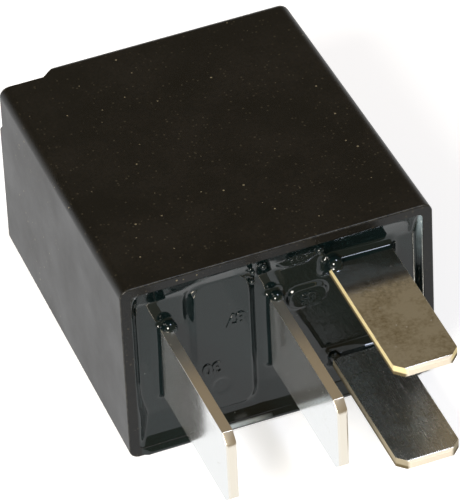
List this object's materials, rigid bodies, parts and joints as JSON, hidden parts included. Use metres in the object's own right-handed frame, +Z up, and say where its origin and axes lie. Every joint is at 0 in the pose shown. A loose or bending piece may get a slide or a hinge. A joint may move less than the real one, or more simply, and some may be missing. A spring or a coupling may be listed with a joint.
{
  "type": "automotive relay",
  "caption": "Sealed plug-in automotive relay: black rectangular cover, resin-filled end with two upright and two flat blades; coil, armature and contacts inside.",
  "frame": {"origin": "on the surface the relay lies on, under the middle of its whole length and width", "axes": "+X across the relay from blade 30 to the coil blades, +Y from the blade tips to the closed end of the cover, +Z up from the broad face it lies on"},
  "size_m": [0.0234, 0.0386, 0.0156],
  "materials": {
    "cover_plastic": "moulded, slightly grained",
    "base_plastic": "moulded",
    "resin": "poured epoxy, glossy",
    "tinned_brass": "tin plated sheet, dull bright",
    "soft_iron": "zinc plated",
    "coil_copper": "enamelled copper wire",
    "bobbin_plastic": "moulded glass-filled nylon",
    "spring_bronze": "rolled phosphor bronze",
    "rivet_steel": "zinc plated",
    "contact_silver": "silver alloy",
    "resistor_body": "lacquered ceramic",
    "lead_wire": "tinned wire"
  },
  "bodies": {
    "root": {"cover": "cover_plastic", "base": "base_plastic", "resin_seal": "resin", "terminal_30": "tinned_brass", "terminal_87": "tinned_brass", "terminal_85": "tinned_brass", "terminal_86": "tinned_brass", "back_stop": "tinned_brass", "yoke": "soft_iron", "core": "soft_iron", "bobbin": "bobbin_plastic", "coil_winding": "coil_copper", "yoke_rivets": "rivet_steel", "fixed_contact": "contact_silver", "resistor": "resistor_body", "resistor_leads": "lead_wire"},
    "armature": {"armature": "soft_iron", "contact_spring": "spring_bronze", "armature_rivets": "rivet_steel", "moving_contact": "contact_silver"}
  },
  "joints": [
    {"name": "armature_hinge", "type": "hinge", "parent": "root", "child": "armature", "pos_m": [-0.00804, 0.01385, 0.0078], "axis": [0, 0, -1], "range_deg": [0, 2], "stiffness_Nm_per_rad": 0.02, "springref_deg": -3.44, "deforming": ["contact_spring"]}
  ]
}
